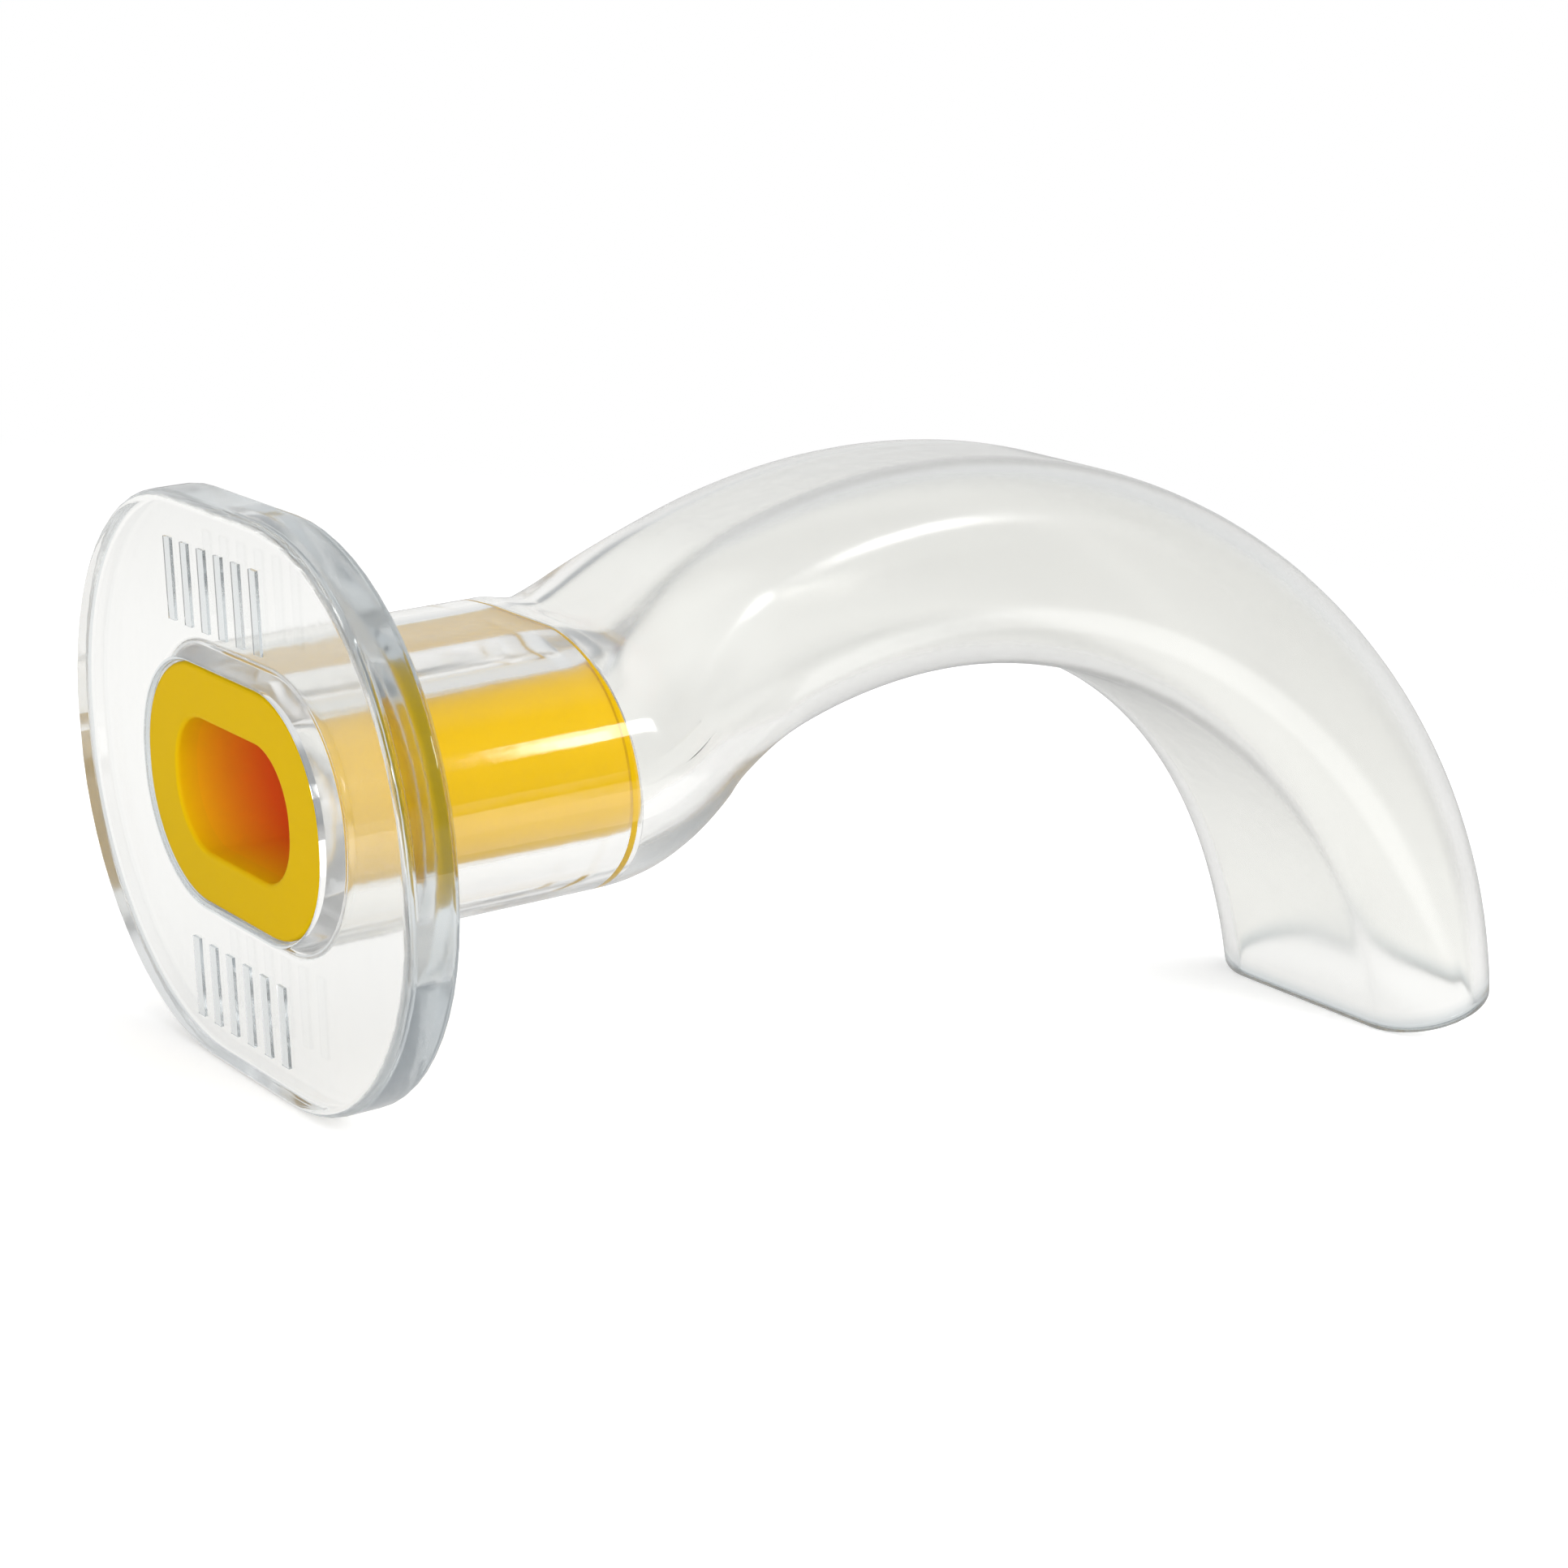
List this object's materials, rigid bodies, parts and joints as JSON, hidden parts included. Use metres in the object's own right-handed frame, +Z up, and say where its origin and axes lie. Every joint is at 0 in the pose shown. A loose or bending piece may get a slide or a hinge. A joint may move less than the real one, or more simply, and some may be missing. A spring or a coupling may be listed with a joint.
{
  "type": "oropharyngeal airway",
  "caption": "Clear curved oropharyngeal airway with a flat oblong flange and a yellow bite block pushed into its straight bite section.",
  "frame": {"origin": "centre of the bottom of the bounding box: the level on which the flange's lower edge and the tip stand", "axes": "+X from the flange towards the tip, +Y to the side across the width, +Z up away from the surface that it stands on"},
  "size_m": [0.0992, 0.0446, 0.0396],
  "materials": {
    "clear_plastic": "clear, glossy, moulded",
    "yellow_plastic": "even semi-gloss"
  },
  "bodies": {
    "root": {"airway_body": "clear_plastic", "bite_block": "yellow_plastic"}
  },
  "joints": []
}
